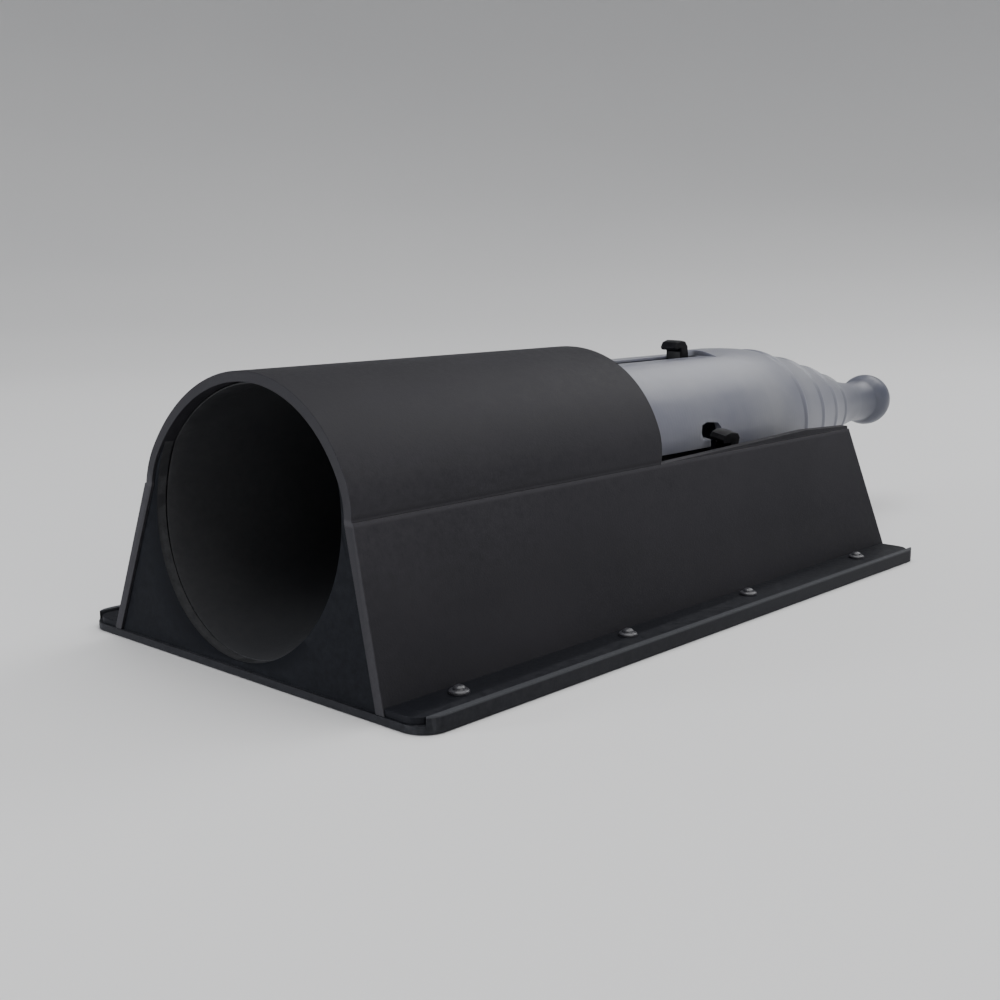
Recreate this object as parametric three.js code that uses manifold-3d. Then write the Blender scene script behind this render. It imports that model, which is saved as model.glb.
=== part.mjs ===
// A tunnel mouse trap that works with an elastic ring, with the cone for loading rings left on it.
//
// Millimetres, +Z up, +Y from the entrance towards the rear, +X to the right of someone who looks into
// the entrance. The pieces are laid out with the entrance's foot at y = 0 and the ground at z = 0, and
// the whole group is then moved so that the origin is under the middle of the trap.
import * as THREE from "three";
import { mergeVertices } from "three/addons/utils/BufferGeometryUtils.js";
import Module from "manifold-3d";

const wasm = await Module();
wasm.setup();

// Housing
const HOUSING_LENGTH = 125;
const WALL = 1.4;
const WALL_FOOT_X = 28.1;
const FOOT_TOP_Z = 1.9;
const ARCH_RADIUS = 23;
const ARCH_CENTRE_Z = 16.3;
const HAUNCH_RADIUS = 14.1;
const HAUNCH_START = 30;
const HAUNCH_END = 8;
const FRONT_LEAN = 0.08;
const ROOF_END_Y = 58;
const ROOF_END_LEAN = 0.26;
const REAR_LEAN = -0.13;
const WALL_CREST_Y = 107;
const WALL_CREST_Z = 23.8;
const WALL_REAR_Z = 23.1;

// Base
const BASE_HALF_WIDTH = 35.1;
const BASE_LENGTH = 124.4;
const BASE_THICKNESS = 1;
const LIP_WIDTH = 0.9;
const LIP_TOP_Z = 2.2;
const BASE_CORNER_RADIUS = 3.5;
const PIN_X = 30.5;
const PIN_ROWS_Y = [10.4, 44, 75, 110];

// Entrance
const MOUTH_RADIUS = 19.2;
const MOUTH_Z = 21.1;
const PLATE_THICKNESS = 1.4;
const PLATE_SETBACK = 0.4;
const FUNNEL_END_Y = 46.6;
const FUNNEL_WALL = 1.1;

// Ring carrier: everything round the tunnel's axis
const AXIS_Z = 22.8;
const BARREL_INNER = 10.8;
const BARREL_OUTER = 12.8;
const BULKHEAD_Y = 47;
const BARREL_END_Y = 70;
const SLOT_START_Y = 52.5;
const FINGER_SLOT = 4;

// Ring fingers, which turn on pins through the barrel
const FINGER_WIDTH = 3.4;
const SEAR_WIDTH = 2.4;
const SEAR_TIP_Y = 53.9;
const FINGER_INNER = 10.95;
const FINGER_OUTER = 12.65;
const PIVOT_Y = 58;
const PIVOT_RADIUS = 11.8;
const PIVOT_PIN_RADIUS = 0.45;
const SIDE_FINGER_ANGLE = -12;
const EAR_TOP = 5.8;
const EAR_ROOM = 0.5;
const FINGERS = [
  { name: "top", angle: 90, hookY: 95.2, hookRadius: 16.2 },
  { name: "bottom", angle: 270, hookY: 76, hookRadius: 16.5 },
  { name: "right", angle: SIDE_FINGER_ANGLE, hookY: 86, hookRadius: 17.4, ear: -1 },
  { name: "left", angle: 180 - SIDE_FINGER_ANGLE, hookY: 86, hookRadius: 17.4, ear: 1 },
];
const PLAIN_HOOK = 4.2;
const PLAIN_BEAK = 1.8;
const EARED_HOOK = 5.6;
const EARED_BEAK = 2.6;

// Release cam, a ring that turns round the barrel and lets the sear tips out
const CAM_Y = [53.6, 56.6];
const CAM_INNER = 13;
const CAM_OUTER = 14.6;
const CAM_NOTCH_DEPTH = 0.85;
const CAM_TRAVEL = 20;

// Trigger pedal
const HINGE_Y = 100;
const HINGE_Z = 4.4;
const HINGE_KNUCKLE_RADIUS = 1.7;
const HINGE_PIN_RADIUS = 0.8;
const EAR_X = [9, 11];
const ARM_X = [16, 17.6];
const PEDAL_BOTTOM_Z = 3.9;
const PEDAL_TOP_Z = 5.3;
const PEDAL_END_Y = 122.5;
const SPRING_Y = 112;

// Loading cone
const CONE_RIM_Y = 62.5;
const CONE_RADIUS = 14.2;
const CONE_WALL = 1.15;
const CONE_SHOULDER_Y = 108;
const CONE_TAPER = [[13.6, 118], [12, 127.5], [9.8, 137.5], [7.6, 146], [5.3, 154]];
const CONE_SLOT = 4.6;
const CONE_FLAT = 13.2;
const SLOT_PAST_HOOK = 3.5;
const SLOT_PAST_EAR = 1.2;
const RIDGES_Y = [122, 132, 141, 149];
const RIDGE_HEIGHT = 0.4;
const NECK_Y = 161;
const NECK_RADIUS = 4.2;
const BALL_Y = 170;
const BALL_RADIUS = 5.4;

// Room between pieces that move, pieces that fit and pieces that rest on one another
const GAP = 0.3;
const LOOSE = 0.1;
const RESTING = 0.05;
const FAR = 200;
const ROUND_SEGMENTS = 40;
const ARCH_SEGMENTS = 12;
const CAM_STEPS = 120;
const BALL_STEPS = 7;
const TAPER_STEPS = 10;
const HOLLOW_END_Y = 148;

const radians = THREE.MathUtils.degToRad;

// A closed three.js geometry as a solid that can be cut and joined.
function solid(geometry) {
  const bare = geometry.index ? geometry.toNonIndexed() : geometry.clone();
  bare.deleteAttribute("normal");
  bare.deleteAttribute("uv");
  const merged = mergeVertices(bare, 1e-4);
  return new wasm.Manifold(
    new wasm.Mesh({
      numProp: 3,
      vertProperties: merged.attributes.position.array,
      triVerts: new Uint32Array(merged.index.array),
    }),
  );
}

// The mesh of a solid, under the piece's name.
function piece(name, shape, material) {
  const { vertProperties, triVerts } = shape.getMesh();
  const geometry = new THREE.BufferGeometry();
  geometry.setAttribute("position", new THREE.BufferAttribute(vertProperties, 3));
  geometry.setIndex(new THREE.BufferAttribute(triVerts, 1));
  geometry.computeVertexNormals();
  const mesh = new THREE.Mesh(geometry, material);
  mesh.name = name;
  return mesh;
}

function box([x0, x1], [y0, y1], [z0, z1]) {
  const geometry = new THREE.BoxGeometry(x1 - x0, y1 - y0, z1 - z0);
  return solid(geometry.translate((x0 + x1) / 2, (y0 + y1) / 2, (z0 + z1) / 2));
}

// An outline in x and z, drawn out along y.
function alongY(shape, [y0, y1], curveSegments = ROUND_SEGMENTS) {
  const options = { depth: y1 - y0, bevelEnabled: false, curveSegments };
  const geometry = new THREE.ExtrudeGeometry(shape, options);
  return solid(geometry.rotateX(Math.PI / 2).translate(0, y1, 0));
}

// An outline in x and y, drawn out along z.
function alongZ(shape, [z0, z1]) {
  const options = { depth: z1 - z0, bevelEnabled: false, curveSegments: 8 };
  return solid(new THREE.ExtrudeGeometry(shape, options).translate(0, 0, z0));
}

// An outline in y and z, drawn out along x.
function alongX(points, [x0, x1]) {
  const shape = new THREE.Shape(points.map(([y, z]) => new THREE.Vector2(y, z)));
  const geometry = new THREE.ExtrudeGeometry(shape, { depth: x1 - x0, bevelEnabled: false });
  const turn = new THREE.Matrix4().makeBasis(
    new THREE.Vector3(0, 1, 0),
    new THREE.Vector3(0, 0, 1),
    new THREE.Vector3(1, 0, 0),
  );
  return solid(geometry.applyMatrix4(turn).translate(x0, 0, 0));
}

// A profile of [radius, y] points turned round the tunnel's axis.
function turned(profile, segments = ROUND_SEGMENTS) {
  const points = profile.map(([r, y]) => new THREE.Vector2(r, y));
  return solid(new THREE.LatheGeometry(points, segments).translate(0, 0, AXIS_Z));
}

// A tube round the tunnel's axis.
function tube(inner, outer, [y0, y1], segments = ROUND_SEGMENTS) {
  return turned([[inner, y0], [outer, y0], [outer, y1], [inner, y1], [inner, y0]], segments);
}

// A round bar, r thick, along x or z.
function barX(radius, [x0, x1], y, z, segments = 16) {
  const geometry = new THREE.CylinderGeometry(radius, radius, x1 - x0, segments);
  return solid(geometry.rotateZ(Math.PI / 2).translate((x0 + x1) / 2, y, z));
}

function barZ(radius, x, y, [z0, z1], segments = 16) {
  const geometry = new THREE.CylinderGeometry(radius, radius, z1 - z0, segments);
  return solid(geometry.rotateX(Math.PI / 2).translate(x, y, (z0 + z1) / 2));
}

// All the space in front of (side -1) or behind (side 1) the plane y = foot + lean * z.
function pastPlane(foot, lean, side) {
  const geometry = new THREE.BoxGeometry(FAR, FAR, FAR);
  geometry.translate(0, (side * FAR) / 2, 0);
  return solid(geometry.rotateX(-Math.atan(lean)).translate(0, foot, 0));
}

// A solid made at the top of the tunnel's axis (x across, z outwards), turned to an angle round it.
// Angle 0 points to +X and 90 points up.
function roundAxis(shape, angle) {
  const moved = shape.rotate([0, 90 - angle, 0]);
  return moved.translate([0, 0, AXIS_Z]);
}

// The right haunch: the tighter arc that joins the arch to its side wall. It stops short of the wall's
// slope, which leaves a crease where the wall begins.
function haunch() {
  const start = radians(HAUNCH_START);
  const reach = ARCH_RADIUS - HAUNCH_RADIUS;
  return {
    x: reach * Math.cos(start),
    z: ARCH_CENTRE_Z + reach * Math.sin(start),
    start,
    end: radians(HAUNCH_END),
  };
}

// Where the arch meets the flat side walls, on the outside.
function crease() {
  const { x, z, end } = haunch();
  return [x + HAUNCH_RADIUS * Math.cos(end), z + HAUNCH_RADIUS * Math.sin(end)];
}

// The housing's outline, from foot to foot over the arch, drawn in by an inset.
function archShape(inset, footZ) {
  const { x, z, start, end } = haunch();
  const [creaseX, creaseZ] = crease();
  const slope = (WALL_FOOT_X - creaseX) / (creaseZ - FOOT_TOP_Z);
  const footX = WALL_FOOT_X + slope * (FOOT_TOP_Z - footZ) - inset * Math.hypot(1, slope);
  const shape = new THREE.Shape();
  shape.moveTo(-footX, footZ);
  shape.lineTo(footX, footZ);
  shape.absarc(x, z, HAUNCH_RADIUS - inset, end, start, false);
  shape.absarc(0, ARCH_CENTRE_Z, ARCH_RADIUS - inset, start, Math.PI - start, false);
  shape.absarc(-x, z, HAUNCH_RADIUS - inset, Math.PI - start, Math.PI - end, false);
  shape.closePath();
  return shape;
}

// Each foot pin's place.
function pinPlaces() {
  const sides = [["left", -1], ["right", 1]];
  return sides.flatMap(([side, sign]) =>
    PIN_ROWS_Y.map((y, row) => ({ name: `cover_pin_${side}_${row + 1}`, x: sign * PIN_X, y })),
  );
}

function pinHoles() {
  const holes = pinPlaces().map(({ x, y }) => barZ(0.8, x, y, [-1, 4], 12));
  return wasm.Manifold.union(holes);
}

// The inside of the housing as a prism, used to trim what stands in it.
function insidePrism(clearance, [y0, y1], footZ) {
  return alongY(archShape(WALL + clearance, footZ), [y0, y1], ARCH_SEGMENTS);
}

// The base's outline with its rounded corners, drawn in by an inset, and drawn out along z.
function baseBlock(inset, height) {
  const x = BASE_HALF_WIDTH - inset;
  const y = BASE_LENGTH - inset;
  const r = BASE_CORNER_RADIUS - inset;
  const shape = new THREE.Shape();
  shape.absarc(x - r, inset + r, r, -Math.PI / 2, 0, false);
  shape.absarc(x - r, y - r, r, 0, Math.PI / 2, false);
  shape.absarc(r - x, y - r, r, Math.PI / 2, Math.PI, false);
  shape.absarc(r - x, inset + r, r, Math.PI, 1.5 * Math.PI, false);
  shape.closePath();
  return alongZ(shape, height);
}

// The base, with a raised lip along both sides and the lugs for the pedal's pin.
function basePlate() {
  const inner = BASE_HALF_WIDTH - LIP_WIDTH;
  let plate = baseBlock(0, [0, LIP_TOP_Z]);
  plate = plate.subtract(box([-inner, inner], [-1, BASE_LENGTH + 1], [BASE_THICKNESS, FAR]));
  for (const side of [-1, 1]) {
    const ear = EAR_X.map((x) => side * x).sort((a, b) => a - b);
    plate = plate.add(hingeEar(ear));
  }
  return plate.subtract(pinHoles());
}

// A lug on the base that carries the pedal's pin.
function hingeEar(x) {
  const width = 2;
  const outline = [
    [HINGE_Y - width - 1, 0.5],
    [HINGE_Y + width, 0.5],
    [HINGE_Y + width, HINGE_Z + 1],
    [HINGE_Y + width - 1, HINGE_Z + width],
    [HINGE_Y - width + 1, HINGE_Z + width],
    [HINGE_Y - width, HINGE_Z + 1],
  ];
  return alongX(outline, x).subtract(barX(HINGE_PIN_RADIUS + LOOSE, [-FAR, FAR], HINGE_Y, HINGE_Z));
}

// The strip that the housing stands on, inside the base's lips and rounded corners.
function feet(bottom) {
  const footX = BASE_HALF_WIDTH - LIP_WIDTH - GAP;
  const strip = box([-footX, footX], [0, BASE_LENGTH], [bottom, FOOT_TOP_Z]);
  return strip.intersect(baseBlock(GAP, [0, FAR]));
}

function housingCover() {
  const bottom = BASE_THICKNESS + RESTING;
  const length = [0, HOUSING_LENGTH + 5];
  let cover = alongY(archShape(0, bottom), length, ARCH_SEGMENTS);
  cover = cover.add(feet(bottom));
  cover = cover.subtract(alongY(archShape(WALL, -1), [-5, HOUSING_LENGTH + 10], ARCH_SEGMENTS));
  cover = cover.subtract(pastPlane(0, FRONT_LEAN, -1));
  cover = cover.subtract(pastPlane(HOUSING_LENGTH, REAR_LEAN, 1));
  cover = cover.subtract(roofCutOut());
  return cover.subtract(pinHoles());
}

// What is taken away over the loading cone: the roof, down to the tops of the side walls, which rise a
// little towards the rear and drop at its corner.
function roofCutOut() {
  const wallTop = crease()[1];
  const outline = [
    [ROOF_END_Y + ROOF_END_LEAN * wallTop, wallTop],
    [WALL_CREST_Y, WALL_CREST_Z],
    [HOUSING_LENGTH, WALL_REAR_Z],
    [FAR, WALL_REAR_Z],
    [FAR, 60],
    [ROOF_END_Y + ROOF_END_LEAN * 60, 60],
  ];
  return alongX(outline, [-FAR / 2, FAR / 2]);
}

// The flat front under and beside the mouth, inside the arch.
function frontPlate() {
  const reach = [-5, 10];
  let plate = insidePrism(LOOSE, reach, BASE_THICKNESS + RESTING);
  plate = plate.subtract(pastPlane(PLATE_SETBACK, FRONT_LEAN, -1));
  plate = plate.subtract(pastPlane(PLATE_SETBACK + PLATE_THICKNESS, FRONT_LEAN, 1));
  const mouth = new THREE.CylinderGeometry(MOUTH_RADIUS, MOUTH_RADIUS, 40, ROUND_SEGMENTS);
  return plate.subtract(solid(mouth.translate(0, 0, MOUTH_Z)));
}

// The cone-shaped sleeve that leads from the mouth to the barrel.
function entranceFunnel() {
  const start = PLATE_SETBACK + PLATE_THICKNESS + LOOSE;
  const wide = MOUTH_RADIUS + 0.1;
  const narrow = BARREL_INNER + 0.2;
  const profile = [
    [wide, -4],
    [wide + FUNNEL_WALL, -4],
    [narrow + FUNNEL_WALL, FUNNEL_END_Y],
    [narrow, FUNNEL_END_Y],
    [wide, -4],
  ];
  const points = profile.map(([r, y]) => new THREE.Vector2(r, y));
  const geometry = new THREE.LatheGeometry(points, ROUND_SEGMENTS);
  const rise = (AXIS_Z - MOUTH_Z) / FUNNEL_END_Y;
  const lean = new THREE.Matrix4().set(1, 0, 0, 0, 0, 1, 0, 0, 0, rise, 1, MOUTH_Z, 0, 0, 0, 1);
  const funnel = solid(geometry.applyMatrix4(lean));
  const inside = insidePrism(LOOSE, [-5, FUNNEL_END_Y], BASE_THICKNESS + 2 * RESTING);
  return funnel.intersect(inside).subtract(pastPlane(start, FRONT_LEAN, -1));
}

function barrelBulkhead() {
  const plate = insidePrism(LOOSE, [BULKHEAD_Y, BULKHEAD_Y + WALL], BASE_THICKNESS + RESTING);
  return plate.subtract(turned([[0, 0], [BARREL_OUTER + LOOSE, 0], [BARREL_OUTER + LOOSE, 90], [0, 90]]));
}

function ringBarrel() {
  const flange = [BULKHEAD_Y + WALL + RESTING, SLOT_START_Y - 2];
  let barrel = tube(BARREL_INNER, BARREL_OUTER, [FUNNEL_END_Y + 0.2, BARREL_END_Y]);
  barrel = barrel.add(tube(BARREL_OUTER - 1, CAM_OUTER - 0.2, flange));
  for (const { angle } of FINGERS) {
    const half = FINGER_SLOT / 2;
    const slot = box([-half, half], [SLOT_START_Y, BARREL_END_Y + 1], [5, 20]);
    const hole = barX(PIVOT_PIN_RADIUS + LOOSE / 2, [-5, 5], PIVOT_Y, PIVOT_RADIUS, 12);
    barrel = barrel.subtract(roundAxis(slot.add(hole), angle));
  }
  return barrel;
}

// The clip ring that keeps the cam on the barrel.
function camRetainer() {
  const ring = tube(CAM_INNER + LOOSE, CAM_OUTER - 0.3, [CAM_Y[1] + 0.2, CAM_Y[1] + 0.9]);
  const split = box([-1.5, 1.5], [50, 60], [-20, -5]);
  return ring.subtract(roundAxis(split, 90 + 45));
}

// The cam's inner radius at an angle: a ramped notch at each finger's sear tip.
function camRadius(angle) {
  const halfTip = THREE.MathUtils.radToDeg(Math.asin(SEAR_WIDTH / 2 / CAM_INNER));
  const margin = 2;
  for (const finger of FINGERS) {
    const along = THREE.MathUtils.euclideanModulo(finger.angle + halfTip + margin - angle, 360);
    if (along <= 2 * (halfTip + margin) + CAM_TRAVEL) {
      return CAM_INNER + CAM_NOTCH_DEPTH * Math.min(along / CAM_TRAVEL, 1);
    }
  }
  return CAM_INNER;
}

function camRing() {
  const shape = new THREE.Shape();
  shape.absarc(0, 0, CAM_OUTER, 0, 2 * Math.PI, false);
  const inner = Array.from({ length: CAM_STEPS }, (_, i) => {
    const angle = (360 * i) / CAM_STEPS;
    const radius = camRadius(angle);
    return new THREE.Vector2(radius * Math.cos(radians(angle)), radius * Math.sin(radians(angle)));
  });
  shape.holes.push(new THREE.Path(inner));
  const ring = alongY(shape, CAM_Y).translate([0, 0, AXIS_Z]);
  const tab = box([10.6, 17.8], [CAM_Y[0] + 0.1, CAM_Y[1] - 0.1], [11.9, 14.2]);
  return ring.add(tab);
}

// One ring finger, made at the top of the axis: a lever with a sear tip in front of its pivot and a
// hook at its rear. The side fingers' hooks have an ear that stands up beside the cone.
function ringFinger({ angle, hookY, hookRadius, ear }) {
  const half = FINGER_WIDTH / 2;
  const end = hookY + hookLength(ear);
  const lever = box([-half, half], [SLOT_START_Y + 4, end - 0.8], [FINGER_INNER, FINGER_OUTER]);
  const tip = SEAR_WIDTH / 2;
  const sear = box([-tip, tip], [SEAR_TIP_Y, SLOT_START_Y + 5], [FINGER_INNER, FINGER_OUTER]);
  const hook = ear ? earedHook(hookY, hookRadius, ear) : plainHook(hookY, hookRadius);
  const hole = barX(PIVOT_PIN_RADIUS + LOOSE, [-5, 5], PIVOT_Y, PIVOT_RADIUS, 12);
  return roundAxis(lever.add(sear).add(hook).subtract(hole), angle);
}

function hookLength(ear) {
  return ear ? EARED_HOOK : PLAIN_HOOK;
}

// The outline of a hook seen from the side: a post with a beak towards the entrance.
function plainHook(y, top) {
  const half = FINGER_WIDTH / 2;
  const post = y + PLAIN_BEAK;
  const end = y + PLAIN_HOOK;
  const outline = [
    [post, FINGER_INNER],
    [end - 0.5, FINGER_INNER],
    [end, FINGER_OUTER],
    [end - 0.3, top - 1.1],
    [end - 1.1, top - 0.2],
    [post, top],
    [y + 0.6, top - 0.3],
    [y, top - 1.2],
    [y + 0.3, top - 1.7],
    [post - 0.4, top - 1.5],
    [post, top - 1.9],
  ];
  return alongX(outline, [-half, half]);
}

function earedHook(y, top, side) {
  const half = FINGER_WIDTH / 2;
  const front = y + EARED_BEAK;
  const end = y + EARED_HOOK;
  const post = alongX(
    [
      [front, FINGER_INNER],
      [end - 0.7, FINGER_INNER],
      [end - 0.3, top - 0.6],
      [end - 0.9, top],
      [front + 0.2, top],
      [front, top - 0.4],
    ],
    [-half, half],
  );
  return post.add(ear(y, side, 0, [CONE_RADIUS + 0.45, top]));
}

// The ear's outline, in x and y, grown by a margin and drawn out in z.
function ear(y, side, margin, [z0, z1]) {
  const m = margin;
  const front = y + EARED_BEAK - m;
  const end = y + EARED_HOOK + m;
  const outline = [
    [-1, front],
    [EAR_TOP - 1.8 - m, front],
    [EAR_TOP - 1.7 - m, y + 0.5 - m],
    [EAR_TOP - 1.1, y - m],
    [EAR_TOP - 0.4 + m, y + 0.4 - m],
    [EAR_TOP + m, y + 2 - m],
    [EAR_TOP - 0.3 + m, end - 1.4],
    [EAR_TOP - 1.1 + m, end - 0.6],
    [-1, end - 0.3],
  ].map(([x, v]) => new THREE.Vector2(side * x, v));
  if (side < 0) {
    outline.reverse();
  }
  const options = { depth: z1 - z0, bevelEnabled: false };
  const geometry = new THREE.ExtrudeGeometry(new THREE.Shape(outline), options);
  return solid(geometry.translate(0, 0, z0));
}

function fingerPin({ angle }) {
  const half = FINGER_SLOT / 2 + 0.9;
  return roundAxis(barX(PIVOT_PIN_RADIUS, [-half, half], PIVOT_Y, PIVOT_RADIUS, 12), angle);
}

// The plate a mouse treads on, with an arm that reaches forward to the cam's tab.
function triggerPedal() {
  const plate = box([-12.6, 12.6], [HINGE_Y, PEDAL_END_Y], [PEDAL_BOTTOM_Z, PEDAL_TOP_Z]);
  const knuckle = barX(HINGE_KNUCKLE_RADIUS, [-12.6, ARM_X[1]], HINGE_Y, HINGE_Z);
  const arm = box(ARM_X, [CAM_Y[0] + 0.2, HINGE_Y], [PEDAL_BOTTOM_Z - 0.5, PEDAL_TOP_Z]);
  const finger = box(ARM_X, [CAM_Y[0] + 0.2, CAM_Y[1] - 0.2], [PEDAL_BOTTOM_Z, 11.6]);
  let pedal = wasm.Manifold.union([plate, knuckle, arm, finger]);
  for (const side of [-1, 1]) {
    const gap = [side * (EAR_X[0] - GAP), side * (EAR_X[1] + GAP)].sort((a, b) => a - b);
    pedal = pedal.subtract(box(gap, [HINGE_Y - 4, HINGE_Y + 2.6], [0, 10]));
  }
  const bore = barX(HINGE_PIN_RADIUS + LOOSE, [-13, 12.8], HINGE_Y, HINGE_Z);
  return pedal.subtract(bore).subtract(cupRails(GAP));
}

// Two grooves in the pedal's sides that the bait cup's runners slide in.
function cupRails(clearance) {
  const rails = [-1, 1].map((side) => {
    const x = [side * (8 - clearance), side * (9.2 + clearance)].sort((a, b) => a - b);
    return box(x, [105.6 - clearance, 140], [PEDAL_TOP_Z - 0.5 - clearance, PEDAL_TOP_Z + 1]);
  });
  return rails[0].add(rails[1]);
}

function baitCup() {
  const cup = box([-9.2, 9.2], [105.6, 121.6], [PEDAL_TOP_Z + 0.1, 7.7]);
  const hollow = box([-8, 8], [106.8, 120.4], [PEDAL_TOP_Z + 0.9, 9]);
  const runners = [-1, 1].map((side) => {
    const x = [side * 8, side * 9.2].sort((a, b) => a - b);
    return box(x, [105.6, 121.6], [PEDAL_TOP_Z - 0.4, PEDAL_TOP_Z + 0.5]);
  });
  return cup.subtract(hollow).add(runners[0]).add(runners[1]);
}

// The small coil spring that lifts the pedal.
class Helix extends THREE.Curve {
  constructor(radius, turns, z0, z1) {
    super();
    Object.assign(this, { radius, turns, z0, z1 });
  }

  getPoint(t, target = new THREE.Vector3()) {
    const turn = 2 * Math.PI * this.turns * t;
    const z = this.z0 + (this.z1 - this.z0) * t;
    return target.set(this.radius * Math.cos(turn), SPRING_Y + this.radius * Math.sin(turn), z);
  }
}

function pedalSpring() {
  const wire = 0.28;
  const section = new THREE.Shape().absarc(0, 0, wire, 0, 2 * Math.PI, false);
  const path = new Helix(2.4, 2.5, BASE_THICKNESS + wire + 0.1, PEDAL_BOTTOM_Z - wire - 0.1);
  const options = { extrudePath: path, steps: 40, curveSegments: 4, bevelEnabled: false };
  return solid(new THREE.ExtrudeGeometry(section, options));
}

// The cone's outer radius behind its shoulder.
function coneProfile() {
  const curve = new THREE.CatmullRomCurve3(
    [
      [CONE_RADIUS, CONE_SHOULDER_Y],
      ...CONE_TAPER,
      [NECK_RADIUS, NECK_Y],
    ].map(([r, y]) => new THREE.Vector3(r, y, 0)),
  );
  return curve.getPoints(TAPER_STEPS).map(({ x, y }) => [x, y]);
}

function coneBall() {
  const first = Math.asin((NECK_RADIUS - 0.3) / BALL_RADIUS);
  return Array.from({ length: BALL_STEPS }, (_, i) => {
    const angle = Math.PI - first - ((Math.PI - first) * i) / (BALL_STEPS - 1);
    return [BALL_RADIUS * Math.sin(angle), BALL_Y + BALL_RADIUS * Math.cos(angle)];
  }).map(([r, y], i, all) => (i === all.length - 1 ? [0, y] : [r, y]));
}

function loadingCone() {
  const outer = coneProfile();
  const hollow = outer
    .filter(([, y], i) => y < HOLLOW_END_Y && i % 2 === 0)
    .map(([r, y]) => [r - CONE_WALL - 0.2, y - 0.4]);
  const inside = [[0, HOLLOW_END_Y], ...hollow.reverse(), [CONE_RADIUS - CONE_WALL, CONE_RIM_Y]];
  const profile = [...inside, [CONE_RADIUS, CONE_RIM_Y], ...outer, ...coneBall()];
  let cone = turned(profile);
  for (const y of RIDGES_Y) {
    cone = cone.add(ridge(y, outer));
  }
  for (const finger of FINGERS) {
    cone = cone.subtract(coneSlot(finger));
  }
  return cone;
}

// A low ring round the cone that stops a ring from rolling back.
function ridge(y, outer) {
  const above = outer.findIndex((point) => point[1] > y);
  const [r0, y0] = outer[above - 1];
  const [r1, y1] = outer[above];
  const radius = r0 + ((r1 - r0) * (y - y0)) / (y1 - y0);
  return turned([
    [radius - 1, y - 1],
    [radius + RIDGE_HEIGHT, y - 0.2],
    [radius + RIDGE_HEIGHT - 0.1, y + 0.3],
    [radius - 1, y + 1],
    [radius - 1, y - 1],
  ]);
}

// The slot that a finger lies in, open at the cone's rim. A side finger's has room for its ear to
// swing in, and the top finger's runs along a flat.
function coneSlot({ angle, hookY, ear: side }) {
  const half = CONE_SLOT / 2;
  const end = hookY + hookLength(side) + (side ? SLOT_PAST_EAR : SLOT_PAST_HOOK);
  const length = [CONE_RIM_Y - 1, end];
  let slot = box([-half, half], length, [8, 20]);
  if (side) {
    slot = slot.add(ear(hookY, side, EAR_ROOM, [8, 20]));
  }
  if (angle === 90) {
    slot = slot.add(box([-CONE_RADIUS, CONE_RADIUS], length, [CONE_FLAT, 20]));
  }
  return roundAxis(slot, angle);
}

function coverPin({ name, x, y }) {
  const head = barZ(1.3, x, y, [FOOT_TOP_Z + RESTING, FOOT_TOP_Z + 0.65], 20);
  const crown = barZ(0.85, x, y, [FOOT_TOP_Z + 0.6, FOOT_TOP_Z + 0.95], 20);
  const shank = barZ(0.6, x, y, [0.2, FOOT_TOP_Z + 0.3], 12);
  return piece(name, head.add(crown).add(shank), materials.pin);
}

const finish = (color, roughness, metalness = 0) =>
  new THREE.MeshStandardMaterial({ color, roughness, metalness });

const materials = {
  housing: finish(0x35343a, 0.55),
  base: finish(0x3b3b41, 0.5),
  front: finish(0x1b1c28, 0.5),
  carrier: finish(0x24242a, 0.45),
  finger: finish(0x0c0c10, 0.3),
  cone: finish(0xc9c9d6, 0.35),
  bait: finish(0xcabfa2, 0.5),
  pin: finish(0x6f6f78, 0.4),
  steel: finish(0xa8a8ac, 0.3, 1),
};

const trap = new THREE.Group();
trap.add(
  piece("base_plate", basePlate(), materials.base),
  piece("housing_cover", housingCover(), materials.housing),
  piece("front_plate", frontPlate(), materials.front),
  piece("entrance_funnel", entranceFunnel(), materials.front),
  piece("barrel_bulkhead", barrelBulkhead(), materials.carrier),
  piece("ring_barrel", ringBarrel(), materials.carrier),
  piece("release_cam", camRing(), materials.bait),
  piece("cam_retainer", camRetainer(), materials.carrier),
  piece("trigger_pedal", triggerPedal(), materials.carrier),
  piece("pedal_pin", barX(HINGE_PIN_RADIUS, [-12.4, 12.4], HINGE_Y, HINGE_Z), materials.steel),
  piece("pedal_spring", pedalSpring(), materials.steel),
  piece("bait_cup", baitCup(), materials.bait),
  piece("loading_cone", loadingCone(), materials.cone),
);
for (const finger of FINGERS) {
  trap.add(piece(`ring_finger_${finger.name}`, ringFinger(finger), materials.finger));
  trap.add(piece(`finger_pin_${finger.name}`, fingerPin(finger), materials.steel));
}
for (const place of pinPlaces()) {
  trap.add(coverPin(place));
}
trap.position.y = -(BALL_Y + BALL_RADIUS) / 2;

export default trap;
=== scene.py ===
"""The looks of a tunnel mouse trap with its ring-loading cone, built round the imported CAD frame.

Lengths in the constants are millimetres in the trap's own build frame: y is counted from the foot of the
entrance, z from the ground. place() turns them into metres in the row's frame.
"""

import math

import bmesh
import bpy
from mathutils import Matrix, Vector


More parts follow.
